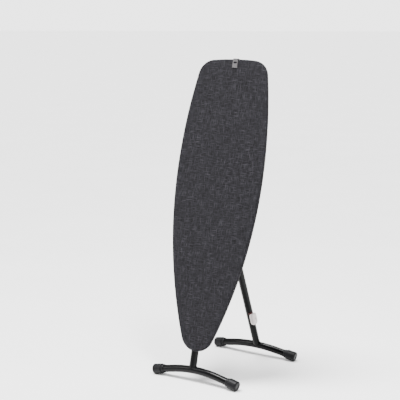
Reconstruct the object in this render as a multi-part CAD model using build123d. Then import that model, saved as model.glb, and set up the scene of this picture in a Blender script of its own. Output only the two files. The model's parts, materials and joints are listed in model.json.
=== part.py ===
"""Free-standing ironing board, stood upright on two T-shaped feet.

Millimetres, +Z up. X runs along the foot bars and Y points away from the
ironing surface. Board parts are drawn flat, nose at the origin, x across,
y along the board and z out of the ironing surface, then leaned back.
"""
from build123d import *
import math
import os

# ---- Board ---------------------------------------------------------------
LENGTH = 1250.0
HALF_WIDTH = 214.5
WIDEST_AT = 760.0
NOSE_SIDE_RADIUS = 1875.0
TAIL_SIDE_RADIUS = 2150.0
TOP_CROWN = 10.6
CORNER_RADIUS = 73.0
BOARD_LEAN = 13.9
NOSE_Y = -7.4
NOSE_Z = 136.6
COVER_T = 1.5
PAD_BACK = -6.0
SHEET_T = 1.2
PLATE_TOP = -6.1
PLATE_BACK = PLATE_TOP - SHEET_T
RIM_BACK = -16.0
HEM_TOP = -16.3
HEM_BACK = -18.0
HEM_WIDTH = 26.0
HOLE_RADIUS = 8.0
HOLE_PITCH = 28.0
HOLE_MARGIN = 30.0
HEM_INSET = 1.6
PLATE_INSET = 1.8
UNDER = PLATE_BACK - 0.2
STRAP_BACK = -15.5
STRAP_WIDTH = 34.0
STRAP_SHEET = 1.5
BRACKET_LEFT = -42.0
BRACKET_RIGHT = 62.0
BRACKET_HALF = 40.0
BRACKET_T = 2.4
RIVET_R = 5.0
RIVET_IN = 10.0
CUT = 1.0

# ---- Legs ----------------------------------------------------------------
TUBE_R = 16.0
TUBE_WALL = 1.5
LEG_X = 17.5
LEG_DEPTH = 36.0
FRONT_HINGE_U = 1100.0
FRONT_BAR_U = -81.5
REAR_HINGE_U = 650.0
REAR_DEPTH = 38.0
REAR_TILT = 22.2
REAR_BAR_Z = 48.0
PIN_R = 4.0
PIN_FIT = 0.05
TUBE_START = 40.0
TUBE_RIVET_DOWN = 15.0
EAR_T = 2.5
EAR_REACH = 16.0
FRONT_GAP = 8.5
REAR_GAP = 11.0
HEAD_R = 6.5
HEAD_T = 2.0
YOKE_REACH = 35.5
TONGUE_W = 16.0
TONGUE_T = 20.0
EYE_R = 13.0

# ---- Feet ----------------------------------------------------------------
ARM_DROOP = 11.0
BEND_RADIUS = 600.0
BAR_HALF = 207.0
CAP_END = 213.3
CAP_R = 22.0
CAP_LENGTH = 44.0
COLLAR_R = 18.6
COLLAR_LENGTH = 11.0

# ---- Hanging clip --------------------------------------------------------
CLIP_X = 11.0
CLIP_WIDTH = 25.0
CLIP_DROP = 38.0
CLIP_T = 1.6
CLIP_SLOT_DOWN = 12.5
CLIP_SLOT_HIGH = 7.5
CLIP_SLOT_WIDE = 17.0
CLIP_LIP = 4.0

# ---- Transport catch -----------------------------------------------------
CATCH_HEIGHT = 188.0
CATCH_GAP = 3.2
CATCH_T = 6.5
CATCH_LONG = 58.0
CATCH_WIDE = 28.0
SEAT_T = 2.4
SEAT_LONG = 64.0
SEAT_WIDE = 26.0
SEAT_TURN = 15.0
TAB_LONG = 7.0

# ---- Carriage and height lever -------------------------------------------
SLED_TOP = -9.4
SLED_BACK = -11.6
RAIL_IN = 47.0
RAIL_OUT = 60.0
RAIL_BACK = -13.5
RAIL_ENDS = (790.0, 1168.0)
LEVER_U = 1128.0
LEVER_DEPTH = 22.0
LEVER_X = 38.0
LEVER_TILT = -16.0
FINGER_U = 1100.0
SLED_HALF = 44.0
RACK_HALF = 4.0
RACK_BACK = -15.4
RACK_TOP = -12.4
RACK_ENDS = (868.0, 1182.0)
NOTCH_START = 944.0
NOTCH_PITCH = 26.67
NOTCHES = 7

LEAN = math.radians(BOARD_LEAN)
TILT = math.radians(REAR_TILT)
BOARD = Plane(
    origin=(0, NOSE_Y, NOSE_Z),
    x_dir=(1, 0, 0),
    z_dir=(0, -math.cos(LEAN), math.sin(LEAN)),
)


def box(x, y, z):
    """Block between two limits along each axis."""
    size = [b - a for a, b in (x, y, z)]
    centre = [(a + b) / 2 for a, b in (x, y, z)]
    return Pos(*centre) * Box(*size)


def rod(radius, x0, x1, y, z):
    """Round bar along X between x0 and x1."""
    return Pos((x0 + x1) / 2, y, z) * Rot(0, 90, 0) * Cylinder(radius, x1 - x0)


def side_x(u):
    """Half width of the board's side arcs at a distance u from the nose."""
    radius = NOSE_SIDE_RADIUS if u < WIDEST_AT else TAIL_SIDE_RADIUS
    return HALF_WIDTH - radius + math.sqrt(radius**2 - (u - WIDEST_AT) ** 2)


def make_outline():
    """Board outline: nose arc, four side arcs and a crowned tail edge."""
    reach = NOSE_SIDE_RADIUS - HALF_WIDTH
    gap = NOSE_SIDE_RADIUS**2 - reach**2 - WIDEST_AT**2
    nose_r = gap / (2 * (NOSE_SIDE_RADIUS - WIDEST_AT))
    span = math.hypot(reach, WIDEST_AT - nose_r)
    tan_x = nose_r * reach / span
    tan_u = nose_r - nose_r * (WIDEST_AT - nose_r) / span
    end_u = LENGTH - TOP_CROWN
    end_x = side_x(end_u)
    low_u = (tan_u + WIDEST_AT) / 2
    high_u = (end_u + WIDEST_AT) / 2
    edges = [
        ThreePointArc((-tan_x, tan_u), (0, 0), (tan_x, tan_u)),
        ThreePointArc((-end_x, end_u), (0, LENGTH), (end_x, end_u)),
    ]
    for s in (-1, 1):
        middle = (s * HALF_WIDTH, WIDEST_AT)
        edges.append(ThreePointArc((s * tan_x, tan_u), (s * side_x(low_u), low_u), middle))
        edges.append(ThreePointArc(middle, (s * side_x(high_u), high_u), (s * end_x, end_u)))
    face = make_face(Curve() + edges)
    corners = face.vertices().sort_by(Axis.Y)[-2:]
    return fillet(corners, CORNER_RADIUS)


OUTLINE = make_outline()


def board_slab(inset, back, top):
    """Board outline pulled in by inset, between two levels."""
    face = offset(OUTLINE, amount=-inset) if inset else OUTLINE
    edges = face.faces()[0].outer_wire().order_edges()
    arcs = [ThreePointArc(edge @ 0, edge @ 0.5, edge @ 1) for edge in edges]
    return Pos(0, 0, back) * extrude(make_face(Curve() + arcs), amount=top - back)


# ---- Board pieces, drawn flat --------------------------------------------
def board_cover():
    return board_slab(0, HEM_BACK, 0) - board_slab(COVER_T, HEM_BACK - CUT, -COVER_T)


def cover_hem():
    return board_slab(HEM_INSET, HEM_BACK, HEM_TOP) - board_slab(HEM_WIDTH, HEM_BACK - CUT, HEM_TOP + CUT)


def board_pad():
    return board_slab(PLATE_INSET, PAD_BACK, -HEM_INSET)


def mesh_plate():
    plate = board_slab(PLATE_INSET, RIM_BACK, PLATE_TOP)
    plate -= board_slab(PLATE_INSET + SHEET_T, RIM_BACK - CUT, PLATE_BACK)
    spots = []
    for row in range(2, int(LENGTH / HOLE_PITCH)):
        u = row * HOLE_PITCH
        shift = HOLE_PITCH / 2 * (row % 2)
        for column in range(-8, 9):
            x = column * HOLE_PITCH + shift
            if abs(x) < side_x(u) - HOLE_MARGIN and u < LENGTH - 1.5 * HOLE_MARGIN:
                spots.append((x, u))
    holes = Sketch() + [Pos(x, u) * Circle(HOLE_RADIUS) for x, u in spots]
    return plate - Pos(0, 0, PLATE_BACK - CUT) * extrude(holes, amount=SHEET_T + 2 * CUT)


def rail(side):
    """Guide channel for the carriage, open towards the middle."""
    low, high = RAIL_ENDS
    channel = box((RAIL_IN, RAIL_OUT), RAIL_ENDS, (RAIL_BACK, UNDER))
    slot = (SLED_BACK - 0.5, SLED_TOP + 0.5)
    channel -= box((RAIL_IN - CUT, RAIL_OUT - STRAP_SHEET), (low - CUT, high + CUT), slot)
    return channel if side > 0 else mirror(channel, Plane.YZ)


def strap(u, half):
    """Pressed cross strap with turned-down edges."""
    edge = STRAP_WIDTH / 2
    inner = edge - STRAP_SHEET
    body = box((-half, half), (u - edge, u + edge), (STRAP_BACK, UNDER))
    trough = box((-half - CUT, half + CUT), (u - inner, u + inner), (STRAP_BACK - CUT, UNDER - STRAP_SHEET))
    return body - trough


def leg_rest():
    """Saddle under the nose that the front leg tube lies in."""
    ends = (98, 134)
    body = box((-LEG_X - 22.5, -LEG_X + 22.5), ends, (3 - LEG_DEPTH, UNDER))
    return body - Pos(-LEG_X, sum(ends) / 2, -LEG_DEPTH) * Rot(90, 0, 0) * Cylinder(TUBE_R + 0.4, 60)


def height_rack():
    """Notched strip for the height lever, standing on a foot at its low end."""
    low, high = RACK_ENDS
    sides = (LEVER_X - RACK_HALF, LEVER_X + RACK_HALF)
    rack = box(sides, (low, high - 7.5), (RACK_BACK, RACK_TOP))
    rack += box(sides, (low, low + 16), (RACK_TOP, UNDER))
    for step in range(NOTCHES):
        u = NOTCH_START + step * NOTCH_PITCH
        rack -= box((LEVER_X - 2.5, LEVER_X + 2.5), (u - 6, u + 6), (RACK_BACK - CUT, RACK_TOP + CUT))
    return rack


def plate_pair(x, gap, thick):
    """X limits of two plates standing either side of x."""
    return [(x - gap - thick, x - gap), (x + gap, x + gap + thick)]


def hinge_ears(pair, u, depth, top, reach=EAR_REACH):
    """Parallel rounded ears that carry a pin along X."""
    ears = Part()
    for x0, x1 in pair:
        ear = box((x0, x1), (u - reach, u + reach), (-depth, top))
        ear += rod(reach, x0, x1, u, -depth)
        ears += ear
    return ears - rod(PIN_R + 0.02, pair[0][0] - CUT, pair[1][1] + CUT, u, -depth)


def rear_bracket():
    """Riveted plate with two ears that carry the rear hinge."""
    ends = (REAR_HINGE_U - BRACKET_HALF, REAR_HINGE_U + BRACKET_HALF)
    plate = box((BRACKET_LEFT, BRACKET_RIGHT), ends, (UNDER - BRACKET_T, UNDER))
    return plate + hinge_ears(plate_pair(LEG_X, REAR_GAP, EAR_T), REAR_HINGE_U, REAR_DEPTH, UNDER)


def bracket_rivets():
    """Four domed rivet heads on the rear bracket."""
    heads = Part()
    seat = UNDER - BRACKET_T - 0.1
    for x in (BRACKET_LEFT + 8, BRACKET_RIGHT - 8):
        for u in (REAR_HINGE_U - BRACKET_HALF + RIVET_IN, REAR_HINGE_U + BRACKET_HALF - RIVET_IN):
            head = Pos(x, u, seat) * Sphere(RIVET_R)
            around = RIVET_R + CUT
            heads += head & box((x - around, x + around), (u - around, u + around), (seat - 3.2, seat))
    return heads


def tube_rivets(side, top):
    """Rivet heads on both sides of a leg tube, through its tongue."""
    x = side * LEG_X
    reach = TUBE_R + 1.4
    heads = rod(3.2, x - reach, x + reach, top - TUBE_RIVET_DOWN, 0)
    return heads - Pos(x, top - TUBE_RIVET_DOWN, 0) * Rot(90, 0, 0) * Cylinder(TUBE_R + 0.02, 20)


def hinge_pin(x, gap, u, depth):
    """Rivet pin with a head outside each ear."""
    half = gap + EAR_T + 0.1
    pin = rod(PIN_R, x - half, x + half, u, -depth)
    for x0 in (x - half - HEAD_T, x + half):
        pin += rod(HEAD_R, x0, x0 + HEAD_T, u, -depth)
    return pin


# ---- Carriage and lever, drawn flat --------------------------------------
def carriage_sled():
    """Sliding plate with ears for the front leg and for the height lever."""
    ends = (FRONT_HINGE_U - SLED_HALF, FRONT_HINGE_U + SLED_HALF)
    sled = box((-RAIL_OUT + 2, RAIL_OUT - 2), ends, (SLED_BACK, SLED_TOP))
    sled += hinge_ears(plate_pair(-LEG_X, FRONT_GAP, EAR_T), FRONT_HINGE_U, LEG_DEPTH, SLED_BACK)
    sled += hinge_ears(plate_pair(LEVER_X, 5.5, 2.0), LEVER_U, LEVER_DEPTH, SLED_BACK, HEAD_R)
    return sled


def lever_pin():
    return rod(PIN_R, LEVER_X - 8.5, LEVER_X + 8.5, LEVER_U, -LEVER_DEPTH)


def height_lever():
    """Bent lever: a finger under the rack, a boss on its pin and a long arm."""
    boss = rod(6, LEVER_X - 4.6, LEVER_X + 4.6, LEVER_U, -LEVER_DEPTH)
    sides = (LEVER_X - 2, LEVER_X + 2)
    finger = box(sides, (FINGER_U, LEVER_U), (-LEVER_DEPTH - 3, -LEVER_DEPTH + 2))
    finger += box(sides, (FINGER_U, FINGER_U + 7), (-LEVER_DEPTH - 3, RACK_BACK - 0.5))
    arm = Pos(LEVER_X, LEVER_U + 30, -LEVER_DEPTH - 9) * Rot(LEVER_TILT, 0, 0) * Box(8, 66, 5)
    lever = boss + finger + arm
    return lever - rod(PIN_R + PIN_FIT, LEVER_X - 8, LEVER_X + 8, LEVER_U, -LEVER_DEPTH)


def lever_grip():
    """Rounded plastic grip moulded on the lever's end."""
    grip = Box(20, 46, 9)
    grip = fillet(grip.edges(), 3.5)
    grip = Pos(LEVER_X, LEVER_U + 52, -LEVER_DEPTH - 15.5) * Rot(LEVER_TILT, 0, 0) * grip
    return grip - height_lever()


# ---- Legs and feet, drawn in the plane of each leg -----------------------
def bar_path(half):
    """Centre line of a foot bar: two drooping arms joined by one bend."""
    droop = math.radians(ARM_DROOP)
    tangent = BEND_RADIUS * math.sin(droop)
    peak = BEND_RADIUS * (1 - math.cos(droop))
    end_y = -peak - (half - tangent) * math.tan(droop)
    left = Line((-half, end_y), (-tangent, -peak))
    bend = ThreePointArc((-tangent, -peak), (0, 0), (tangent, -peak))
    right = Line((tangent, -peak), (half, end_y))
    return Curve() + [left, bend, right]


def swept_bar(radius):
    path = bar_path(BAR_HALF)
    start = path.edges().sort_by(Axis.X)[0]
    profile = Plane(origin=start @ 0, z_dir=start % 0) * Circle(radius)
    return sweep(profile, path=path)


def foot_bar():
    return swept_bar(TUBE_R) - swept_bar(TUBE_R - TUBE_WALL)


def foot_cap(side):
    """Moulded end cap: barrel with a rounded rim, groove and collar."""
    droop = math.radians(ARM_DROOP)
    inner = -CAP_LENGTH
    neck = inner - COLLAR_LENGTH
    barrel = Rot(0, 90, 0) * Cylinder(CAP_R, CAP_LENGTH)
    barrel = fillet(barrel.edges().filter_by(GeomType.CIRCLE).sort_by(Axis.X)[-1], 6)
    barrel = chamfer(barrel.edges().filter_by(GeomType.CIRCLE).sort_by(Axis.X)[0], 1.5)
    cap = Pos(inner / 2, 0, 0) * barrel
    cap += rod(COLLAR_R, neck, inner, 0, 0)
    cap -= rod(CAP_R, inner - 3, inner, 0, 0) - rod(TUBE_R + 1.5, inner - 4, inner + CUT, 0, 0)
    cap -= rod(TUBE_R + 0.1, neck - CUT, -5, 0, 0)
    tangent = BEND_RADIUS * math.sin(droop)
    end_y = -BEND_RADIUS * (1 - math.cos(droop)) - (CAP_END - tangent) * math.tan(droop)
    cap = Pos(CAP_END, end_y, 0) * Rot(0, 0, -ARM_DROOP) * cap
    return cap if side > 0 else mirror(cap, Plane.YZ)


def leg_tube(side, top):
    """Leg tube from its foot bar, coped round the bar, up to its tongue."""
    tube = Cylinder(TUBE_R, top) - Cylinder(TUBE_R - TUBE_WALL, top + 2)
    tube = Pos(side * LEG_X, top / 2, 0) * Rot(90, 0, 0) * tube
    return tube - swept_bar(TUBE_R + 0.02)


def leg_tongue(side, top):
    """Forged end fitting with an eye for the hinge pin."""
    x = side * LEG_X
    half = TONGUE_W / 2
    tongue = box((x - half, x + half), (top, top + TUBE_START), (-TONGUE_T / 2, TONGUE_T / 2))
    tongue += rod(EYE_R, x - half, x + half, top + TUBE_START, 0)
    tongue += Pos(x, top - 14, 0) * Rot(90, 0, 0) * Cylinder(TUBE_R - TUBE_WALL - 0.05, 28)
    return tongue - rod(PIN_R + PIN_FIT, x - half - 1, x + half + 1, top + TUBE_START, 0)


def rear_yoke(hinge_y):
    """Stop yoke that turns on the rear hinge pin beside the tongue."""
    yoke = Part()
    cheeks = plate_pair(LEG_X, 8.6, 2.0)
    low = hinge_y - YOKE_REACH
    for x0, x1 in cheeks:
        cheek = rod(EYE_R + 1, x0, x1, hinge_y, 0)
        cheek += box((x0, x1), (low, hinge_y), (-13.5, 8))
        yoke += cheek
    left, right = cheeks[0][0], cheeks[1][1]
    yoke += box((left, right), (low, hinge_y - 18), (-13.5, -10.5))
    return yoke - rod(PIN_R + PIN_FIT, left - CUT, right + CUT, hinge_y, 0)


def leg_sleeve(inner, outer, low, high):
    """Ring round the rear leg tube between two heights on the leg."""
    ring = Cylinder(outer, high - low) - Cylinder(inner, high - low + CUT)
    return Pos(LEG_X, (low + high) / 2, 0) * Rot(90, 0, 0) * ring


def catch_seat():
    """Oval saddle moulding on the tube's outer front, with a pad for the catch."""
    shell = leg_sleeve(TUBE_R + 0.1, TUBE_R + SEAT_T, CATCH_Y - SEAT_LONG, CATCH_Y + SEAT_LONG)
    trim = Box(2 * CAP_R, SEAT_LONG, SEAT_WIDE)
    trim = fillet(trim.edges().filter_by(Axis.X), SEAT_WIDE / 2 - 0.5)
    shell &= Pos(LEG_X, CATCH_Y, 0) * Rot(0, -SEAT_TURN, 0) * Pos(CAP_R, 0, 0) * trim
    side = LEG_X + TUBE_R
    pad = box((side - 4, side + CATCH_GAP - 0.4), (CATCH_Y - 14, CATCH_Y + 14), (-9, 9))
    pad -= Pos(LEG_X, CATCH_Y, 0) * Rot(90, 0, 0) * Cylinder(TUBE_R + 0.1, SEAT_LONG)
    return shell + pad


def catch_tab():
    """Coloured release tab just above the saddle."""
    low = CATCH_Y + SEAT_LONG / 2 - 2
    tab = leg_sleeve(TUBE_R + 0.1, TUBE_R + SEAT_T + 0.6, low, low + TAB_LONG)
    tab &= box((LEG_X + 5, LEG_X + CAP_R), (low, low + TAB_LONG), (0, CAP_R))
    return tab - catch_seat()


def transport_catch():
    """Oval turn-catch that holds the folded legs together."""
    x0 = LEG_X + TUBE_R + CATCH_GAP
    catch = Pos(x0 + CATCH_T / 2, CATCH_Y, 0) * Box(CATCH_T, CATCH_LONG, CATCH_WIDE)
    catch = fillet(catch.edges().filter_by(Axis.X), CATCH_WIDE / 2 - 0.5)
    outer = catch.faces().sort_by(Axis.X)[-1].edges()
    catch = fillet(outer, 2.4)
    return catch - rod(4.1, x0 - 1, x0 + CATCH_T + 1, CATCH_Y, 0)


def catch_pivot():
    """Shouldered rivet that the catch turns on, fixed in the saddle."""
    x0 = LEG_X + TUBE_R + CATCH_GAP
    return rod(4.05, x0 - 0.4, x0 + CATCH_T + 0.2, CATCH_Y, 0)


# ---- Hanging clip, drawn flat --------------------------------------------
def hang_clip():
    """Sprung steel clip folded over the tail edge, slotted for a hanger."""
    low, high = LENGTH - CLIP_DROP, LENGTH + 0.6
    left, right = CLIP_X - CLIP_WIDTH / 2, CLIP_X + CLIP_WIDTH / 2
    back = HEM_BACK - 0.8
    front = 0.6
    clip = box((left, right), (low, high + CLIP_T), (back - CLIP_T, front + CLIP_T))
    clip -= box((left - CUT, right + CUT), (low - CUT, high), (back, front))
    clip += box((left, right), (low, low + CLIP_T), (front, front + CLIP_LIP))
    top = high - CLIP_SLOT_DOWN
    slot = (CLIP_X - CLIP_SLOT_WIDE / 2, CLIP_X + CLIP_SLOT_WIDE / 2)
    return clip - box(slot, (top - CLIP_SLOT_HIGH, top), (front - 0.5, front + CLIP_T + CUT))


# ---- Placement -----------------------------------------------------------
def board_point(u, depth):
    """Y and Z of a point u along the board and depth behind its surface."""
    y = NOSE_Y + u * math.sin(LEAN) + depth * math.cos(LEAN)
    z = NOSE_Z + u * math.cos(LEAN) - depth * math.sin(LEAN)
    return y, z


rear_hinge_y, rear_hinge_z = board_point(REAR_HINGE_U, REAR_DEPTH)
rear_leg_length = (rear_hinge_z - REAR_BAR_Z) / math.cos(TILT)
CATCH_Y = (CATCH_HEIGHT - REAR_BAR_Z) / math.cos(TILT)
rear_bar_y = rear_hinge_y + rear_leg_length * math.sin(TILT)
bar_y, bar_z = board_point(FRONT_BAR_U, LEG_DEPTH)
FRONT = Plane(origin=(0, bar_y, bar_z), x_dir=(1, 0, 0), z_dir=BOARD.z_dir)
REAR = Plane(
    origin=(0, rear_bar_y, REAR_BAR_Z),
    x_dir=(1, 0, 0),
    z_dir=(0, -math.cos(TILT), -math.sin(TILT)),
)
front_top = FRONT_HINGE_U - FRONT_BAR_U - TUBE_START
rear_top = rear_leg_length - TUBE_START

nodes = {
    "board_cover": BOARD * board_cover(),
    "cover_hem": BOARD * cover_hem(),
    "board_pad": BOARD * board_pad(),
    "mesh_plate": BOARD * mesh_plate(),
    "guide_rail_left": BOARD * rail(-1),
    "guide_rail_right": BOARD * rail(1),
    "nose_strap": BOARD * strap(215, 110),
    "middle_strap": BOARD * strap(740, 196),
    "tail_strap": BOARD * strap(1195, 130),
    "leg_rest": BOARD * leg_rest(),
    "height_rack": BOARD * height_rack(),
    "rear_bracket": BOARD * rear_bracket(),
    "bracket_rivets": BOARD * bracket_rivets(),
    "rear_hinge_pin": BOARD * hinge_pin(LEG_X, REAR_GAP, REAR_HINGE_U, REAR_DEPTH),
    "carriage_sled": BOARD * carriage_sled(),
    "front_hinge_pin": BOARD * hinge_pin(-LEG_X, FRONT_GAP, FRONT_HINGE_U, LEG_DEPTH),
    "lever_pin": BOARD * lever_pin(),
    "height_lever": BOARD * height_lever(),
    "lever_grip": BOARD * lever_grip(),
    "front_leg_tube": FRONT * leg_tube(-1, front_top),
    "front_leg_tongue": FRONT * leg_tongue(-1, front_top),
    "front_tube_rivets": FRONT * tube_rivets(-1, front_top),
    "front_foot_bar": FRONT * foot_bar(),
    "front_cap_left": FRONT * foot_cap(-1),
    "front_cap_right": FRONT * foot_cap(1),
    "rear_yoke": REAR * rear_yoke(rear_leg_length),
    "rear_leg_tube": REAR * leg_tube(1, rear_top),
    "rear_leg_tongue": REAR * leg_tongue(1, rear_top),
    "rear_tube_rivets": REAR * tube_rivets(1, rear_top),
    "rear_foot_bar": REAR * foot_bar(),
    "rear_cap_left": REAR * foot_cap(-1),
    "rear_cap_right": REAR * foot_cap(1),
    "catch_seat": REAR * catch_seat(),
    "transport_catch": REAR * transport_catch(),
    "catch_tab": REAR * catch_tab(),
    "catch_pivot": REAR * catch_pivot(),
    "hang_clip": BOARD * hang_clip(),
}

# Trim the caps to the floor and centre the object over its feet.
floor = box((-500, 500), (-500, 1000), (-100, 0))
for name in list(nodes):
    if "_cap_" in name:
        nodes[name] = nodes[name] - floor
limits = [shape.bounding_box() for shape in nodes.values()]
centre_y = (min(b.min.Y for b in limits) + max(b.max.Y for b in limits)) / 2

os.makedirs("parts", exist_ok=True)
for name, shape in nodes.items():
    placed = Pos(0, -centre_y, 0) * shape
    export_step(placed, f"parts/{name}.step")
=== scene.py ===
"""Looks for the ironing board: cloth cover, felt pad, feet, tubes and finishes."""
import json
import math

import bmesh
import bpy
from mathutils import Matrix, Vector, noise


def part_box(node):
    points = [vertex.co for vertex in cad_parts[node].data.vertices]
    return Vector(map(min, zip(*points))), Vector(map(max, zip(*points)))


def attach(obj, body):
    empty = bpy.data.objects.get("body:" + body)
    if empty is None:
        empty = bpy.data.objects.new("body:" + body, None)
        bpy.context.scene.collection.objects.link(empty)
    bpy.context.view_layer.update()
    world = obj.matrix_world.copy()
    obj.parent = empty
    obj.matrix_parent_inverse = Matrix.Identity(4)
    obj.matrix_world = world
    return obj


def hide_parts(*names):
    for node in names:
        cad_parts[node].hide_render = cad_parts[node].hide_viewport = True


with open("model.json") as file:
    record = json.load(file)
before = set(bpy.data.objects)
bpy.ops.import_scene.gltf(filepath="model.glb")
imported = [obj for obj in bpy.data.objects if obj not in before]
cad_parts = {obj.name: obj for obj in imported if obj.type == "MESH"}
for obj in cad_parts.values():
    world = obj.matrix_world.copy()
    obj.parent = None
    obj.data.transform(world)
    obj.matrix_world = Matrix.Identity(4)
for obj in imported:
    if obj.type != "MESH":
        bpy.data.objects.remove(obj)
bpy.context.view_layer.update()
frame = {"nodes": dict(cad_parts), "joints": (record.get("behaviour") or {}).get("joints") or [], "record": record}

MM = 0.001

# ---- The board's own plane, read from the frame ----------------------------
JOINTS = {j["name"]: j for j in frame["joints"]}
UP_BOARD = Vector(JOINTS["height_slide"]["axis"]).normalized()
ACROSS = Vector((1, 0, 0))
OUT = ACROSS.cross(UP_BOARD).normalized()
LEAN = math.atan2(UP_BOARD.y, UP_BOARD.z)
cover_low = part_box("board_cover")[0]
COVER_DEPTH = 18.0
nose_tip = Vector((0, cover_low.y, cover_low.z + COVER_DEPTH * MM * math.sin(LEAN)))


def frame_matrix(origin, up, out):
    """Places drawings made with x across, y up the plane and z out of it."""
    matrix = Matrix((ACROSS, up, out)).transposed().to_4x4()
    matrix.translation = origin
    return matrix @ Matrix.Scale(MM, 4)


BOARD = frame_matrix(nose_tip, UP_BOARD, OUT)

# ---- Leg planes ------------------------------------------------------------
TUBE_R = 16.0
# Distance from a hinge pin down to the upper end of its leg tube.
TUBE_START = 40.0
front_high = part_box("front_foot_bar")[1]
rear_low, rear_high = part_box("rear_foot_bar")
front_bar = Vector((0, front_high.y - TUBE_R * MM, front_high.z - TUBE_R * MM))
rear_bar = Vector((0, rear_low.y + TUBE_R * MM, rear_high.z - TUBE_R * MM))
rear_hinge = Vector(JOINTS["rear_leg_fold"]["pos_m"])
front_hinge = Vector(JOINTS["front_leg_swing"]["pos_m"])
REAR_UP = (Vector((0, rear_hinge.y, rear_hinge.z)) - rear_bar).normalized()
REAR_OUT = ACROSS.cross(REAR_UP).normalized()
FRONT = frame_matrix(front_bar, UP_BOARD, OUT)
REAR = frame_matrix(rear_bar, REAR_UP, REAR_OUT)
# The legs stand side by side, each this far from the middle.
LEG_X = rear_hinge.x / MM
REAR_LENGTH = (Vector((0, rear_hinge.y, rear_hinge.z)) - rear_bar).length / MM
FRONT_LENGTH = (Vector((0, front_hinge.y, front_hinge.z)) - front_bar).length / MM

# ---- Camera ----------------------------------------------------------------
CAMERA_AT = (2.460, -3.798, 1.481)
CAMERA_TURN = (80.8, 0.0, 34.4)
LENS = 95.7


def make_camera():
    """Camera at the height and angle of the usual standing view."""
    data = bpy.data.cameras.new("camera")
    data.lens = LENS
    data.sensor_width = 36.0
    camera = bpy.data.objects.new("camera", data)
    camera.location = CAMERA_AT
    camera.rotation_euler = [math.radians(a) for a in CAMERA_TURN]
    bpy.context.scene.collection.objects.link(camera)
    bpy.context.scene.camera = camera


make_camera()


# ---- Node helpers ----------------------------------------------------------
class Paint:
    """A procedural material under construction."""

    def __init__(self, name, **settings):
        self.material = bpy.data.materials.new(name)
        self.material.use_nodes = True
        self.tree = self.material.node_tree
        self.shader = self.tree.nodes["Principled BSDF"]
        for socket, value in settings.items():
            self.shader.inputs[socket.replace("_", " ")].default_value = value
        self.place = self.add("ShaderNodeTexCoord").outputs["Object"]

    def add(self, kind, **inputs):
        """Adds a node with its inputs set or linked."""
        node = self.tree.nodes.new(kind)
        for socket, value in inputs.items():
            self.feed(node.inputs[socket.replace("_", " ")], value)
        return node

    def feed(self, socket, value):
        """Links a socket to another node, or sets its value."""
        if isinstance(value, bpy.types.NodeSocket):
            self.tree.links.new(value, socket)
        else:
            socket.default_value = value

    def mapped(self, scale, turn=(0, 0, 0)):
        """The piece's own coordinates, turned and scaled."""
        node = self.add("ShaderNodeMapping", Vector=self.place, Rotation=turn, Scale=scale)
        return node.outputs["Vector"]

    def noise(self, scale, place=None, detail=4.0, roughness=0.55):
        """Cloudy noise from 0 to 1."""
        node = self.add("ShaderNodeTexNoise", Vector=place or self.place, Scale=scale)
        node.inputs["Detail"].default_value = detail
        node.inputs["Roughness"].default_value = roughness
        return node.outputs["Fac"]

    def ramp(self, value, *stops):
        """Turns a value into a colour, or a grey from stops of one number."""
        node = self.add("ShaderNodeValToRGB", Fac=value)
        band = node.color_ramp
        while len(band.elements) < len(stops):
            band.elements.new(0.5)
        for element, (position, colour) in zip(band.elements, stops):
            element.position = position
            element.color = (*colour, 1.0) if len(colour) == 3 else (colour[0],) * 3 + (1.0,)
        return node.outputs["Color"]

    def range(self, value, low, high, new_low, new_high):
        """Maps a value from one range to another."""
        node = self.add("ShaderNodeMapRange", Value=value)
        limits = (("From Min", low), ("From Max", high), ("To Min", new_low), ("To Max", new_high))
        for socket, number in limits:
            node.inputs[socket].default_value = number
        return node.outputs["Result"]

    def math(self, operation, a, b=0.0):
        """One arithmetic step on sockets or numbers."""
        node = self.tree.nodes.new("ShaderNodeMath")
        node.operation = operation
        self.feed(node.inputs[0], a)
        self.feed(node.inputs[1], b)
        return node.outputs[0]

    def mix(self, factor, a, b):
        """Blends two colours."""
        node = self.tree.nodes.new("ShaderNodeMix")
        node.data_type = "RGBA"
        self.feed(node.inputs[0], factor)
        for socket, value in ((node.inputs[6], a), (node.inputs[7], b)):
            self.feed(socket, (*value, 1.0) if isinstance(value, tuple) and len(value) == 3 else value)
        return node.outputs[2]

    def colour(self, value):
        """Sets the surface's base colour."""
        self.feed(self.shader.inputs["Base Color"], value)

    def rough(self, value):
        """Sets the surface's roughness."""
        self.feed(self.shader.inputs["Roughness"], value)

    def bump(self, height, distance, strength):
        """Gives the surface fine relief."""
        node = self.add("ShaderNodeBump", Height=height, Distance=distance, Strength=strength)
        self.feed(self.shader.inputs["Normal"], node.outputs["Normal"])


THREADS = 720
# The wave texture makes 20 / tau ridges to the metre at a scale of 1.
WAVE_SCALE = 6.2832 / 20.0
# Noise scale along a slub and across it.
SLUB_LONG = 28
SLUB_FINE = 430


def thread_wave(paint, place, direction, threads_per_metre):
    """Slightly wavering ridges of the threads that run one way."""
    node = paint.add("ShaderNodeTexWave", Vector=place, Scale=threads_per_metre * WAVE_SCALE)
    node.bands_direction = direction
    node.inputs["Distortion"].default_value = 0.4
    node.inputs["Detail"].default_value = 1.0
    return node.outputs["Fac"]


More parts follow.
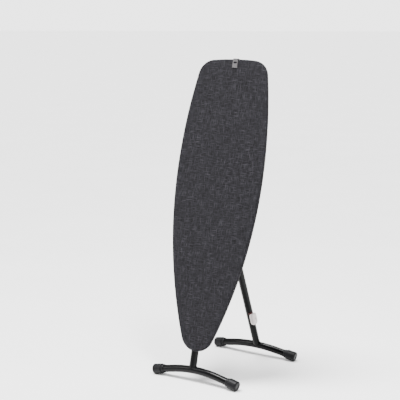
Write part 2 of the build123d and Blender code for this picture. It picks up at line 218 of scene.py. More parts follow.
def cover_cloth():
    """Charcoal melange plain weave with lighter slubs both ways."""
    paint = Paint("cover_cloth", Sheen_Weight=0.04, Sheen_Roughness=0.4, Specular_IOR_Level=0.12)
    flat = paint.mapped((1, 1, 1), (LEAN, 0, 0))
    across = (SLUB_LONG, SLUB_FINE, SLUB_FINE)
    along = (SLUB_FINE, SLUB_FINE, SLUB_LONG)
    weft = paint.add("ShaderNodeMapping", Vector=flat, Scale=across).outputs["Vector"]
    warp = paint.add("ShaderNodeMapping", Vector=flat, Scale=along).outputs["Vector"]
    weft_slub = paint.noise(1.0, weft, detail=3.0, roughness=0.6)
    warp_slub = paint.noise(1.0, warp, detail=3.0, roughness=0.6)
    slub = paint.math("MAXIMUM", weft_slub, warp_slub)
    yarn_x = thread_wave(paint, flat, "X", THREADS)
    yarn_z = thread_wave(paint, flat, "Z", THREADS)
    yarn = paint.math("MULTIPLY", yarn_x, yarn_z)
    melange = paint.ramp(slub, (0.46, (0.0042, 0.0040, 0.0050)), (0.56, (0.0118, 0.0112, 0.0138)),
                         (0.66, (0.0265, 0.0253, 0.0307)), (0.80, (0.086, 0.0825, 0.095)))
    shade = paint.range(yarn, 0.0, 1.0, 0.72, 1.12)
    node = paint.tree.nodes.new("ShaderNodeVectorMath")
    node.operation = "SCALE"
    paint.feed(node.inputs[0], melange)
    paint.feed(node.inputs["Scale"], shade)
    paint.colour(node.outputs[0])
    height = paint.math("ADD", yarn, paint.math("MULTIPLY", slub, 1.2))
    paint.bump(height, distance=0.0006, strength=0.7)
    paint.rough(paint.range(slub, 0.4, 0.8, 0.95, 0.78))
    return paint.material


def felt():
    """Pale felted fibre, matt and slightly mottled."""
    paint = Paint("pad_felt", Roughness=0.95, Sheen_Weight=0.3, Specular_IOR_Level=0.15)
    fibre = paint.noise(900, detail=6.0, roughness=0.7)
    tint = paint.noise(30)
    mottle = paint.math("MULTIPLY", fibre, tint)
    paint.colour(paint.ramp(mottle, (0.1, (0.20, 0.19, 0.175)), (0.45, (0.36, 0.345, 0.32))))
    paint.bump(fibre, distance=0.0008, strength=0.8)
    return paint.material


def coated_steel(name, base, rough, gloss=0.1, shine=0.32):
    """Powder-coated steel: slight orange peel, dust and rubbed marks."""
    paint = Paint(name, Coat_Weight=gloss, Coat_Roughness=0.16, Specular_IOR_Level=shine)
    peel = paint.noise(420, detail=3.0, roughness=0.5)
    cloud = paint.noise(9, detail=5.0, roughness=0.6)
    scratch = paint.noise(1.0, paint.mapped((60, 900, 900)), detail=4.0, roughness=0.7)
    worn = paint.ramp(scratch, (0.66, (0.0,)), (0.78, (1.0,)))
    dark = tuple(c * 0.85 for c in base)
    dusty = tuple(min(1, c * 1.25 + 0.0005) for c in base)
    rubbed = tuple(c * 2.0 + 0.003 for c in base)
    tone = paint.mix(cloud, dark, dusty)
    paint.colour(paint.mix(paint.math("MULTIPLY", worn, 0.18), tone, rubbed))
    dull = paint.math("ADD", cloud, paint.math("MULTIPLY", worn, 0.4))
    paint.rough(paint.range(dull, 0.3, 0.9, rough, rough + 0.16))
    paint.bump(peel, distance=0.00025, strength=0.35)
    return paint.material


def plated_steel(name, base, rough):
    """Zinc plate or satin steel with a drawn grain and dull patches."""
    paint = Paint(name, Metallic=1.0)
    grain = paint.noise(1.0, paint.mapped((900, 900, 40)), detail=4.0, roughness=0.65)
    patch = paint.noise(45, detail=5.0, roughness=0.6)
    dull = tuple(c * 0.78 for c in base)
    bright = tuple(min(1, c * 1.08) for c in base)
    paint.colour(paint.mix(patch, dull, bright))
    paint.rough(paint.range(paint.math("ADD", grain, patch), 0.6, 1.4, rough, rough + 0.22))
    paint.bump(grain, distance=0.00012, strength=0.4)
    return paint.material


def moulded(name, base, rough, grain_size=1400, gloss=0.45):
    """Moulded plastic with spark-eroded grain and handling marks."""
    paint = Paint(name, Specular_IOR_Level=gloss)
    grain = paint.noise(grain_size, detail=2.0, roughness=0.5)
    marks = paint.noise(35, detail=6.0, roughness=0.65)
    dark = tuple(c * 0.85 for c in base)
    light = tuple(min(1, c * 1.3 + 0.0015) for c in base)
    marked = paint.range(marks, 0.3, 0.75, 0.0, 1.0)
    paint.colour(paint.mix(marked, dark, light))
    paint.rough(paint.range(marks, 0.3, 0.75, rough - 0.08, rough + 0.12))
    paint.bump(grain, distance=0.0002, strength=0.5)
    return paint.material


# One material for each of the record's slots, with its base colour.
FINISH = {
    "cover_fabric": cover_cloth(),
    "pad_foam": felt(),
    "black_tube": coated_steel("black_tube", (0.0005, 0.0005, 0.0007), rough=0.12, gloss=0.0, shine=0.12),
    "black_steel": coated_steel("black_steel", (0.010, 0.010, 0.011), rough=0.42),
    "zinc_steel": plated_steel("zinc_steel", (0.33, 0.335, 0.345), rough=0.34),
    "clip_steel": plated_steel("clip_steel", (0.105, 0.101, 0.104), rough=0.3),
    "cap_plastic": moulded("cap_plastic", (0.0028, 0.0028, 0.0034), rough=0.42, gloss=0.12),
    "grey_plastic": moulded("grey_plastic", (0.012, 0.012, 0.014), rough=0.48, gloss=0.3),
    "light_plastic": moulded("light_plastic", (0.52, 0.475, 0.47), rough=0.42),
    "red_plastic": moulded("red_plastic", (0.022, 0.0015, 0.0015), rough=0.4, grain_size=900, gloss=0.3),
}


# ---- Mesh helpers ----------------------------------------------------------
MERGE_DISTANCE = 0.05 * MM
EMPTY_AREA = 1e-12


def make_piece(name, verts, faces, matrix, slot, body, stands_for=()):
    """Makes a smooth piece from a drawing, riding on its body."""
    mesh = bpy.data.meshes.new(name)
    mesh.from_pydata([matrix @ Vector(v) for v in verts], [], faces)
    mesh.validate()
    mesh.update()
    piece = bpy.data.objects.new(name, mesh)
    bpy.context.scene.collection.objects.link(piece)
    for face in mesh.polygons:
        face.use_smooth = True
    mesh.materials.append(FINISH[slot])
    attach(piece, body)
    if stands_for:
        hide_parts(*stands_for)
    return piece


def merge_close(piece):
    """Joins doubled points and drops the faces that they leave empty."""
    work = bmesh.new()
    work.from_mesh(piece.data)
    bmesh.ops.remove_doubles(work, verts=work.verts, dist=MERGE_DISTANCE)
    loose = [f for f in work.faces if f.calc_area() < EMPTY_AREA]
    bmesh.ops.delete(work, geom=loose, context="FACES")
    work.to_mesh(piece.data)
    work.free()


def tip_outwards(piece):
    """Turns every face of a closed piece outwards."""
    work = bmesh.new()
    work.from_mesh(piece.data)
    bmesh.ops.recalc_face_normals(work, faces=work.faces)
    work.to_mesh(piece.data)
    work.free()


def bake_modifier(piece, kind, **settings):
    """Adds a modifier and turns its result into the piece's mesh."""
    modifier = piece.modifiers.new(kind.lower(), kind)
    for key, value in settings.items():
        setattr(modifier, key, value)
    with bpy.context.temp_override(object=piece, active_object=piece, selected_objects=[piece]):
        bpy.ops.object.modifier_apply(modifier=modifier.name)


def rings_mesh(rings, capped=False):
    """Joins closed rings with the same number of points into a skin."""
    count = len(rings[0])
    verts = [p for ring in rings for p in ring]
    faces = []
    for r in range(len(rings) - 1):
        for i in range(count):
            j = (i + 1) % count
            faces.append((r * count + i, r * count + j, (r + 1) * count + j, (r + 1) * count + i))
    if capped:
        faces.append(tuple(reversed(range(count))))
        base = (len(rings) - 1) * count
        faces.append(tuple(base + i for i in range(count)))
    return verts, faces


# ---- Board outline, as arcs in millimetres ---------------------------------
LENGTH = 1250.0
HALF_WIDTH = 214.5
WIDEST_AT = 760.0
NOSE_SIDE_R = 1875.0
TAIL_SIDE_R = 2150.0
TOP_CROWN = 10.6
CORNER_R = 73.0
RING_POINTS = 720


def circle_meet(c0, r0, c1, r1):
    """The right-hand meeting point of two circles, on the wide end's side."""
    gap = c1 - c0
    d = gap.length
    along = (r0 * r0 - r1 * r1 + d * d) / (2 * d)
    rise = math.sqrt(max(r0 * r0 - along * along, 0))
    unit = gap / d
    side = Vector((-unit.y, unit.x))
    options = [c0 + unit * along + side * rise, c0 + unit * along - side * rise]
    return max(options, key=lambda p: (p.y > WIDEST_AT, p.x))


def half_outline():
    """Right half of the outline as (centre, radius, first angle, last angle)."""
    low_side = Vector((HALF_WIDTH - NOSE_SIDE_R, WIDEST_AT))
    high_side = Vector((HALF_WIDTH - TAIL_SIDE_R, WIDEST_AT))
    gap = NOSE_SIDE_R**2 - low_side.x**2 - WIDEST_AT**2
    nose_r = gap / (2 * (NOSE_SIDE_R - WIDEST_AT))
    nose = Vector((0, nose_r))
    end_u = LENGTH - TOP_CROWN
    end_x = high_side.x + math.sqrt(TAIL_SIDE_R**2 - (end_u - WIDEST_AT) ** 2)
    top_r = (end_x**2 + TOP_CROWN**2) / (2 * TOP_CROWN)
    top = Vector((0, LENGTH - top_r))
    corner = circle_meet(high_side, TAIL_SIDE_R - CORNER_R, top, top_r - CORNER_R)
    meet_nose = math.atan2(nose.y - low_side.y, nose.x - low_side.x)
    meet_high = math.atan2(corner.y - high_side.y, corner.x - high_side.x)
    meet_top = math.atan2(corner.y - top.y, corner.x - top.x)
    return [
        (nose, nose_r, -math.pi / 2, meet_nose),
        (low_side, NOSE_SIDE_R, meet_nose, 0.0),
        (high_side, TAIL_SIDE_R, 0.0, meet_high),
        (corner, CORNER_R, meet_high, meet_top),
        (top, top_r, meet_top, math.pi / 2),
    ]


def outline_points(count):
    """Evenly spaced (point, outward normal, curvature) all round the board."""
    arcs = half_outline()
    lengths = [r * abs(b - a) for _, r, a, b in arcs]
    half = count // 2
    right = []
    for i in range(half + 1):
        run = sum(lengths) * i / half
        for (centre, r, a, b), length in zip(arcs, lengths):
            if run <= length + 1e-6:
                angle = a + (b - a) * min(run / length, 1)
                normal = Vector((math.cos(angle), math.sin(angle)))
                right.append((centre + normal * r, normal, 1 / r))
                break
            run -= length
    left = [(Vector((-p.x, p.y)), Vector((-n.x, n.y)), k) for p, n, k in reversed(right[1:-1])]
    return right + left


RING = outline_points(RING_POINTS)
PERIMETER = sum((RING[i][0] - RING[i - 1][0]).length for i in range(len(RING)))
STEP = PERIMETER / len(RING)


def board_ring(inset, level):
    """A ring pulled in from the edge, inset and level may vary along it."""
    ring = []
    for i, (point, normal, curve) in enumerate(RING):
        pull = inset(i, curve) if callable(inset) else inset
        height = level(i, curve) if callable(level) else level
        spot = point - normal * pull
        ring.append((spot.x, spot.y, height))
    return ring


# The flat middle ends this far from the edge; its rings close on a line up the middle.
INNER = 58.0
SPINE_LOW = 190.0
SPINE_HIGH = 1130.0


def surface_rings(level, steps=14):
    """Rings from the middle line of the board out to the inner limit."""
    rings = []
    for step in range(steps):
        t = step / steps
        ring = []
        for point, normal, _ in RING:
            spot = point - normal * INNER
            u = min(max(spot.y, SPINE_LOW), SPINE_HIGH)
            ring.append((spot.x * t, u * (1 - t) + spot.y * t, level))
        rings.append(ring)
    return rings


# Radii where the cover turns over the edge and under it, and how far in the hem reaches.
EDGE_R = 6.0
FOLD_R = 3.5
HEM_REACH = 24.0
HEM_LEVEL = -17.8
# Gathers of the hem: distance from wave to wave, and how far each moves in and up.
GATHER_PITCH = 15.0
GATHER_SWAY = 1.3
GATHER_LIFT = 0.75
STRAIGHT_SHARE = 0.35
TIGHT_BEND_R = 66.0
WANDER_PER_MM = 0.012


def gather(i, curve):
    """Wave of the elastic gathers, stronger where the edge turns tightly."""
    tight = min(curve * TIGHT_BEND_R, 1.0)
    phase = i * STEP / GATHER_PITCH * math.tau
    wander = noise.noise(Vector((i * STEP * WANDER_PER_MM, 3.1, 0.0))) * 4.4
    return math.sin(phase + wander) * (STRAIGHT_SHARE + (1 - STRAIGHT_SHARE) * tight)


def cloth_profile():
    """(inset, level, gather strength) from the flat top round to the hem."""
    rows = [(INNER, 0, 0), (44, 0, 0), (32, 0, 0), (22, 0, 0), (14, 0, 0), (9, -0.1, 0)]
    for k in range(8):
        angle = math.pi / 2 * k / 7
        rows.append((EDGE_R * (1 - math.sin(angle)), -EDGE_R * (1 - math.cos(angle)), 0))
    rows += [(0.15, -9, 0), (0.3, -12, 0.04)]
    fold_top = HEM_LEVEL + FOLD_R
    for k in range(5):
        angle = math.pi / 2 * k / 4
        level = fold_top - FOLD_R * math.sin(angle)
        rows.append((0.4 + FOLD_R * (1 - math.cos(angle)), level, 0.06 + 0.03 * k))
    for inset, strength in ((7, 0.3), (10, 0.45), (13, 0.6), (16, 0.75), (19, 0.9), (21.5, 1.0)):
        rows.append((inset, HEM_LEVEL, strength))
    rows += [(HEM_REACH, -17.5, 1.0), (HEM_REACH + 0.4, -16.9, 1.0), (HEM_REACH - 2.5, -16.7, 0.9)]
    return rows


SOFT_ABOVE = -4.0
BROAD_HEIGHT = 0.55
FINE_HEIGHT = 0.14


def soften(verts):
    """Low, broad unevenness of cloth over felt on the ironing surface."""
    out = []
    for x, y, z in verts:
        if z > SOFT_ABOVE:
            broad = noise.noise(Vector((x / 85.0, y / 120.0, 0.7)))
            fine = noise.noise(Vector((x / 22.0, y / 26.0, 5.1)))
            z += BROAD_HEIGHT * broad + FINE_HEIGHT * fine
        out.append((x, y, z))
    return out


def make_cover():
    """Fitted cloth cover: one skin over the top, round the edge and into the hem."""
    rings = surface_rings(0.0)
    for inset, level, strength in cloth_profile():
        rings.append(board_ring(
            lambda i, c, s=inset, g=strength: s + (GATHER_SWAY * g * gather(i + 3, c) if g > 0.5 else 0),
            lambda i, c, z=level, g=strength: z + GATHER_LIFT * g * gather(i, c) - 0.2 * g,
        ))
    verts, faces = rings_mesh(rings)
    replaced = ("board_cover", "cover_hem")
    cover = make_piece("cloth_cover", soften(verts), faces, BOARD, "cover_fabric", "board", replaced)
    merge_close(cover)
    tip_outwards(cover)
    return cover


cover = make_cover()


def tube_ring(path, radius, sides=12, closed=True):
    """Skin of a tube that follows a path in the board's plane."""
    rings = []
    count = len(path)
    for i, point in enumerate(path):
        ahead = Vector(path[(i + 1) % count]) if closed or i < count - 1 else Vector(point)
        behind = Vector(path[i - 1]) if closed or i else Vector(point)
        along = (ahead - behind).normalized()
        side = along.cross(Vector((0, 0, 1))).normalized()
        over = side.cross(along)
        r = radius(i) if callable(radius) else radius
        rings.append([tuple(Vector(point) + (side * math.cos(a) + over * math.sin(a)) * r)
                      for a in [math.tau * k / sides for k in range(sides)]])
    if closed:
        rings.append(rings[0])
    return rings_mesh(rings, capped=not closed)


ELASTIC_LEVEL = -17.0
ELASTIC_R = 1.25
ELASTIC_SWELL = 0.12


def make_hem_elastic():
    """Round elastic edge that draws the hem in under the rim."""
    path = []
    for i, (point, normal, curve) in enumerate(RING):
        spot = point - normal * (HEM_REACH - 1.0 + GATHER_SWAY * gather(i + 3, curve))
        path.append((spot.x, spot.y, ELASTIC_LEVEL + 0.6 * gather(i, curve)))
    verts, faces = tube_ring(path, lambda i: ELASTIC_R + ELASTIC_SWELL * math.sin(i * 2.1))
    hem = make_piece("hem_elastic", verts, faces, BOARD, "cover_fabric", "board")
    merge_close(hem)
    tip_outwards(hem)


make_hem_elastic()

STITCH_INSET = 19.0
STITCH_LEVEL = -18.1
STITCH_R = 0.4
STITCH_SHARE = 0.7
STITCH_STRENGTH = 0.9
STITCH_BOW = 0.15


def make_hem_stitches():
    """One run of short thread stitches that holds the elastic in the hem."""
    row = []
    for i, (point, normal, curve) in enumerate(RING):
        pull = STITCH_INSET + GATHER_SWAY * STITCH_STRENGTH * gather(i + 3, curve)
        spot = point - normal * pull
        level = STITCH_LEVEL + GATHER_LIFT * STITCH_STRENGTH * gather(i, curve)
        row.append(Vector((spot.x, spot.y, level)))
    verts, faces = [], []
    for start, after in zip(row, row[1:] + row[:1]):
        end = start.lerp(after, STITCH_SHARE)
        middle = start.lerp(end, 0.5) - Vector((0, 0, STITCH_BOW))
        thread, ends = tube_ring([start, middle, end], STITCH_R, 6, closed=False)
        faces += [tuple(len(verts) + corner for corner in face) for face in ends]
        verts += thread
    make_piece("hem_stitches", verts, faces, BOARD, "cover_fabric", "board")


make_hem_stitches()


PAD_FRONT = -1.9
PAD_BACK = -6.0


def make_pad():
    """Felt pad with a rounded edge, between the cover and the steel plate."""
    rows = [(INNER, PAD_FRONT), (20, PAD_FRONT), (6, -2.0), (3.6, -2.5), (2.6, -3.6),
            (2.6, -4.6), (3.4, -5.6), (6, PAD_BACK), (INNER, PAD_BACK)]
    top = surface_rings(PAD_FRONT, 8)
    bottom = list(reversed(surface_rings(PAD_BACK, 8)))
    rings = top + [board_ring(s, z) for s, z in rows] + bottom
    verts, faces = rings_mesh(rings)
    pad = make_piece("felt_pad", verts, faces, BOARD, "pad_foam", "board", ("board_pad",))
    merge_close(pad)
    tip_outwards(pad)


make_pad()


# ---- Feet ------------------------------------------------------------------
ARM_DROOP = math.radians(11.0)
BEND_R = 600.0
# Distance from the middle to a cap's outer face, and to the tube's end inside it.
CAP_END = 213.3
BAR_HALF = 207.0
CAP_SIDES = 96
FLUTES = 16
FLUTE_DEPTH = 0.35
TUBE_SIDES = 64
BAR_STEPS = 120


def arm_level(x):
    """Height of a foot bar's straight arm at a distance from the middle."""
    tangent = BEND_R * math.sin(ARM_DROOP)
    return -BEND_R * (1 - math.cos(ARM_DROOP)) - (x - tangent) * math.tan(ARM_DROOP)


def bar_line():
    """Centre line of a foot bar, in its leg's plane."""
    tangent = BEND_R * math.sin(ARM_DROOP)
    points = []
    for k in range(BAR_STEPS + 1):
        x = -BAR_HALF + 2 * BAR_HALF * k / BAR_STEPS
        y = math.sqrt(BEND_R**2 - x * x) - BEND_R if abs(x) < tangent else arm_level(abs(x))
        points.append((x, y, 0.0))
    return points


def make_foot_bar(name, matrix, body, node):
    """Bent foot tube, closed under its caps."""
    verts, faces = tube_ring(bar_line(), TUBE_R, TUBE_SIDES, closed=False)
    bar = make_piece(name, verts, faces, matrix, "black_tube", body, (node,))
    tip_outwards(bar)


make_foot_bar("front_bar_tube", FRONT, "front_leg", "front_foot_bar")
make_foot_bar("rear_bar_tube", REAR, "rear_leg", "rear_foot_bar")

# Distance back from the outer face, radius, and depth of the grip flutes.
CAP_PROFILE = [
    (0.9, 0.0, 0), (0.9, 9.0, 0), (0.7, 9.6, 0), (0.1, 10.2, 0), (0.0, 11.0, 0), (0.0, 15.5, 0),
    (0.4, 17.9, 0), (1.5, 19.8, 0), (3.2, 21.2, 0.2), (5.6, 21.9, 0.6), (8.0, 22.0, 1), (20.0, 22.0, 1),
    (36.0, 21.9, 1), (40.0, 21.9, 0.6), (41.6, 21.6, 0.2), (42.4, 21.0, 0), (42.6, 18.2, 0),
    (42.8, 17.6, 0), (44.4, 17.6, 0), (44.7, 18.1, 0), (45.1, 18.5, 0), (46.0, 18.6, 0), (50.0, 18.5, 0),
    (53.6, 18.4, 0), (54.6, 17.9, 0), (55.0, 17.2, 0), (55.0, 16.15, 0), (50.0, 16.1, 0),
]


def make_cap(name, matrix, side, body, node):
    """Ribbed end cap with its groove and collar, flat where it stands."""
    arm = Vector((math.cos(ARM_DROOP), -math.sin(ARM_DROOP), 0))
    lift = Vector((math.sin(ARM_DROOP), math.cos(ARM_DROOP), 0))
    end = Vector((CAP_END, arm_level(CAP_END), 0))
    rings = []
    for back, radius, flute in CAP_PROFILE:
        ring = []
        for k in range(CAP_SIDES):
            a = math.tau * k / CAP_SIDES
            r = radius - FLUTE_DEPTH * flute * (0.5 + 0.5 * math.cos(a * FLUTES))
            spot = end - arm * back + (lift * math.cos(a) + Vector((0, 0, 1)) * math.sin(a)) * r
            ring.append((spot.x * side, spot.y, spot.z))
        rings.append(ring)
    verts, faces = rings_mesh(rings)
    cap = make_piece(name, verts, faces, matrix, "cap_plastic", body, (node,))
    # The cap is pressed flat where it stands on the floor.
    for vertex in cap.data.vertices:
        vertex.co.z = max(vertex.co.z, 0.0)
    merge_close(cap)
    tip_outwards(cap)


for end_name, matrix in (("front", FRONT), ("rear", REAR)):
    for side_name, side in (("left", -1), ("right", 1)):
        node = f"{end_name}_cap_{side_name}"
        make_cap(f"{end_name}_foot_{side_name}", matrix, side, f"{end_name}_leg", node)


TUBE_FOOT = 1.0
STRAIGHT_FROM = 8.0
STRAIGHT_STEPS = 40
ROLL_DEPTH = 4.0
# Distance down from the tube's upper end, and radius.
ROLLED_END = [(2.0, TUBE_R), (0.9, 15.8), (0.2, 15.3), (0.0, 14.5), (ROLL_DEPTH, 14.4)]


def make_leg_tube(name, matrix, side, length, body, node):
    """Drawn tube with a rolled upper end, seated in the foot bar."""
    top = length - TUBE_START
    straight = top - ROLL_DEPTH - STRAIGHT_FROM
    rows = [(TUBE_FOOT, TUBE_R)]
    for k in range(STRAIGHT_STEPS + 1):
        rows.append((STRAIGHT_FROM + straight * k / STRAIGHT_STEPS, TUBE_R))
    rows += [(top - down, r) for down, r in ROLLED_END]
    rings = []
    for y, r in rows:
        rings.append([(side * LEG_X + r * math.cos(a), y, r * math.sin(a))
                      for a in [math.tau * k / TUBE_SIDES for k in range(TUBE_SIDES)]])
    verts, faces = rings_mesh(rings)
    tip_outwards(make_piece(name, verts, faces, matrix, "black_tube", body, (node,)))


make_leg_tube("front_tube", FRONT, -1, FRONT_LENGTH, "front_leg", "front_leg_tube")
make_leg_tube("rear_tube", REAR, 1, REAR_LENGTH, "rear_leg", "rear_leg_tube")


BEAD_POINTS = 220
BEAD_SIDES = 10
BEAD_R = 1.7
BEAD_RIPPLE = 0.22
BEAD_LIFT = 0.4
RIPPLE_POINTS = 5


def make_weld(name, matrix, side, body):
    """Painted-over weld bead round the saddle where leg meets foot bar."""
    count = BEAD_POINTS
    path = []
    for k in range(count):
        a = math.tau * k / count
        x = side * LEG_X + TUBE_R * math.cos(a)
        sag = math.sqrt(max(BEND_R**2 - x * x, 0)) - BEND_R
        path.append((x, sag + TUBE_R * abs(math.cos(a)) + BEAD_LIFT, TUBE_R * math.sin(a)))
    rings = []
    for k, point in enumerate(path):
        along = (Vector(path[(k + 1) % count]) - Vector(path[k - 1])).normalized()
        a = math.tau * k / count
        over = along.cross(Vector((math.cos(a), 0, math.sin(a)))).normalized()
        away = over.cross(along).normalized()
        r = BEAD_R + BEAD_RIPPLE * math.sin(k * math.tau / RIPPLE_POINTS)
        rings.append([tuple(Vector(point) + (away * math.cos(b) + over * math.sin(b)) * r)
                      for b in [math.tau * j / BEAD_SIDES for j in range(BEAD_SIDES)]])
    rings.append(rings[0])
    verts, faces = rings_mesh(rings)
    weld = make_piece(name, verts, faces, matrix, "black_tube", body)
    merge_close(weld)
    tip_outwards(weld)


make_weld("front_weld", FRONT, -1, "front_leg")
make_weld("rear_weld", REAR, 1, "rear_leg")


# ---- Hanging clip ----------------------------------------------------------
CLIP_X = 11.0
CLIP_HALF = 12.5
CLIP_SHEET = 1.6
# Heights along the board of the clip's ends and its slot, and levels of its two plates.
CLIP_LOW = LENGTH - 38.0
CLIP_TOP = LENGTH + 1.4
CLIP_FRONT = 1.4
CLIP_BACK = -19.6
CLIP_BEND = 2.4
LIP_END = 4.5
SLOT_LOW = LENGTH - 19.4
SLOT_HIGH = LENGTH - 11.9
SLOT_HALF = 8.5
SLOT_CORNER = 2.5
SLOT_STEPS = 16
CLIP_COLUMNS = 7
EDGE_BREAK = 0.35


def rounded_path(corners, radius, steps=6):
    """Follows a line through corners, turning each one as an arc."""
    points = [Vector(corners[0])]
    for before, corner, after in zip(corners, corners[1:], corners[2:]):
        corner = Vector(corner)
        start = corner + (Vector(before) - corner).normalized() * radius
        end = corner + (Vector(after) - corner).normalized() * radius
        for k in range(steps + 1):
            t = k / steps
            points.append(start * (1 - t) ** 2 + corner * 2 * t * (1 - t) + end * t * t)
    points.append(Vector(corners[-1]))
    return points


def slot_half(u):
    """Half width of the clip's slot at a height on the board, with round corners."""
    short = max(SLOT_CORNER - min(u - SLOT_LOW, SLOT_HIGH - u), 0.0)
    return SLOT_HALF - SLOT_CORNER + math.sqrt(max(SLOT_CORNER**2 - short**2, 0.0))


def make_hang_clip():
    """Sprung steel strip folded over the tail edge, with a hanger slot."""
    lip = CLIP_LOW + CLIP_SHEET / 2
    corners = [(lip, LIP_END), (lip, CLIP_FRONT), (CLIP_TOP, CLIP_FRONT), (CLIP_TOP, CLIP_BACK),
               (CLIP_LOW, CLIP_BACK)]
    line = rounded_path(corners, CLIP_BEND)
    slot_rows = [SLOT_LOW + (SLOT_HIGH - SLOT_LOW) * k / SLOT_STEPS for k in range(SLOT_STEPS + 1)]
    front_end = next(i for i, point in enumerate(line) if point.x > SLOT_HIGH)
    path = line[:front_end] + [Vector((u, CLIP_FRONT)) for u in slot_rows] + line[front_end:]
    verts = []
    for row, point in enumerate(path):
        inside = front_end <= row < front_end + len(slot_rows)
        edge = slot_half(point.x) if inside else SLOT_HALF - SLOT_CORNER
        between = (CLIP_HALF + edge) / 2
        for x in (-CLIP_HALF, -between, -edge, 0.0, edge, between, CLIP_HALF):
            verts.append((CLIP_X + x, point.x, point.y))
    faces = []
    for row in range(len(path) - 1):
        in_slot = front_end <= row < front_end + SLOT_STEPS
        for column in range(CLIP_COLUMNS - 1):
            if in_slot and column in (2, 3):
                continue
            a = row * CLIP_COLUMNS + column
            b = a + CLIP_COLUMNS
            faces.append((a, a + 1, b + 1, b))
    node = "hang_clip"
    clip = make_piece("steel_hang_clip", verts, faces, BOARD, "clip_steel", node, (node,))
    bake_modifier(clip, "SOLIDIFY", thickness=CLIP_SHEET * MM, offset=0.0)
    bake_modifier(clip, "BEVEL", width=EDGE_BREAK * MM, segments=2, limit_method="ANGLE")
    tip_outwards(clip)


make_hang_clip()

# ---- Transport catch -------------------------------------------------------
CATCH_SIDES = 96
catch_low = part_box("transport_catch")[0]
catch_joint = Vector(JOINTS["catch_turn"]["pos_m"])
CATCH_FACE = catch_low.x / MM
CATCH_UP = (catch_joint - rear_bar).dot(REAR_UP) / MM
# Half straight length, end radius and height above the inner face.
CATCH_PROFILE = [
    (0, 4.1, 0.0), (15, 12.6, 0.0), (15, 13.5, 0.3), (15, 13.9, 1.0), (15, 14.0, 2.0), (15, 13.95, 3.8),
    (15, 13.6, 4.9), (15, 12.9, 5.8), (15, 11.9, 6.3), (15, 10.8, 6.45), (15, 10.0, 6.4), (14.9, 9.5, 6.1),
    (13.6, 9.0, 5.6), (13.0, 8.4, 5.3), (9.0, 7.2, 5.15), (3.0, 6.4, 5.3), (0, 6.2, 5.9), (0, 5.6, 6.2),
    (0, 4.8, 6.2), (0, 4.3, 5.9), (0, 4.1, 5.4), (0, 4.1, 0.0),
]


def make_catch():
    """Turning oval with a rolled edge, dished face and raised centre boss."""
    rings = []
    for straight, radius, rise in CATCH_PROFILE:
        ring = []
        for k in range(CATCH_SIDES):
            a = math.tau * (k + 0.5) / CATCH_SIDES
            shift = straight if math.sin(a) > 0 else -straight
            y = CATCH_UP + shift + radius * math.sin(a)
            ring.append((CATCH_FACE + rise, y, radius * math.cos(a)))
        rings.append(ring)
    verts, faces = rings_mesh(rings)
    node = "transport_catch"
    catch = make_piece("oval_catch", verts, faces, REAR, "light_plastic", node, (node,))
    merge_close(catch)
    tip_outwards(catch)


make_catch()


# ---- Finishes on the CAD pieces that show ----------------------------------
record = frame["record"]
node_slot = {s["node"]: s["material_slot"] for s in record["subparts"]}
for node, thing in frame["nodes"].items():
    if not thing.hide_render:
        thing.data.materials.clear()
        thing.data.materials.append(FINISH[node_slot[node]])


# ---- Stage -----------------------------------------------------------------
ROOM_LIGHT = 0.95
FLOOR_HALF = 400.0
HORIZON_GLOW = 3.4
HORIZON_LOW = 0.04
HORIZON_HIGH = 0.16


def make_floor():
    """Wide pale floor that the feet stand on."""
    paint = Paint("pale_floor", Roughness=0.6, Specular_IOR_Level=0.3)
    paint.colour(paint.ramp(paint.noise(1.5), (0.3, (0.90, 0.90, 0.90)), (0.7, (0.93, 0.93, 0.93))))
    mesh = bpy.data.meshes.new("floor")
    half = FLOOR_HALF
    corners = [(-half, -half, 0), (half, -half, 0), (half, half, 0), (-half, half, 0)]
    mesh.from_pydata(corners, [], [(0, 1, 2, 3)])
    floor = bpy.data.objects.new("floor", mesh)
    mesh.materials.append(paint.material)
    bpy.context.scene.collection.objects.link(floor)


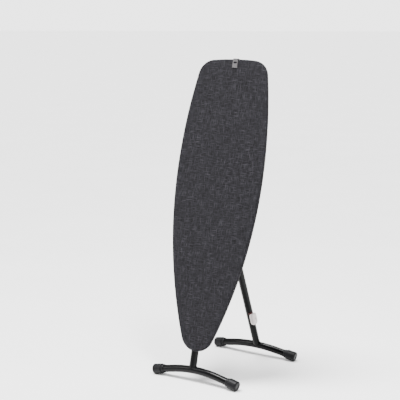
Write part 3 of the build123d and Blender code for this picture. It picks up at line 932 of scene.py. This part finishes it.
def make_room_light():
    """Even light from all round, brighter in a band at the horizon."""
    world = bpy.data.worlds.new("studio")
    bpy.context.scene.world = world
    world.use_nodes = True
    tree = world.node_tree
    glow = tree.nodes["Background"]
    glow.inputs["Color"].default_value = (1, 1, 1, 1)
    height = tree.nodes.new("ShaderNodeSeparateXYZ")
    tree.links.new(tree.nodes.new("ShaderNodeTexCoord").outputs["Generated"], height.inputs[0])
    band = tree.nodes.new("ShaderNodeMapRange")
    band.interpolation_type = "SMOOTHSTEP"
    band.inputs["From Min"].default_value = HORIZON_LOW
    band.inputs["From Max"].default_value = HORIZON_HIGH
    band.inputs["To Min"].default_value = HORIZON_GLOW
    band.inputs["To Max"].default_value = ROOM_LIGHT
    tree.links.new(height.outputs["Z"], band.inputs["Value"])
    tree.links.new(band.outputs["Result"], glow.inputs["Strength"])


def make_sun(direction, power, spread):
    """Even daylight over the whole floor, from the upper left."""
    data = bpy.data.lights.new("daylight", "SUN")
    data.energy = power
    data.angle = math.radians(spread)
    sun = bpy.data.objects.new("daylight", data)
    sun.rotation_euler = Vector(direction).to_track_quat("-Z", "Y").to_euler()
    bpy.context.scene.collection.objects.link(sun)


def make_light(name, place, target, size, power):
    """Rectangular studio lamp aimed at a target."""
    data = bpy.data.lights.new(name, "AREA")
    data.shape = "RECTANGLE"
    data.size, data.size_y = size
    data.energy = power
    light = bpy.data.objects.new(name, data)
    light.location = place
    light.rotation_euler = (Vector(target) - Vector(place)).to_track_quat("-Z", "Y").to_euler()
    bpy.context.scene.collection.objects.link(light)


make_floor()
make_room_light()
make_sun(direction=(0.22, 0.18, -1.0), power=8.5, spread=25)
MIDDLE = (0, 0, 0.6)
make_light("window", place=(-2.6, -2.4, 2.6), target=MIDDLE, size=(0.9, 2.2), power=60)
make_light("fill", place=(3.2, -1.4, 2.0), target=MIDDLE, size=(0.8, 2.4), power=25)
make_light("overhead", place=(0.9, -0.6, 3.4), target=(0, 0, 0), size=(0.4, 0.8), power=110)

bpy.context.view_layer.update()
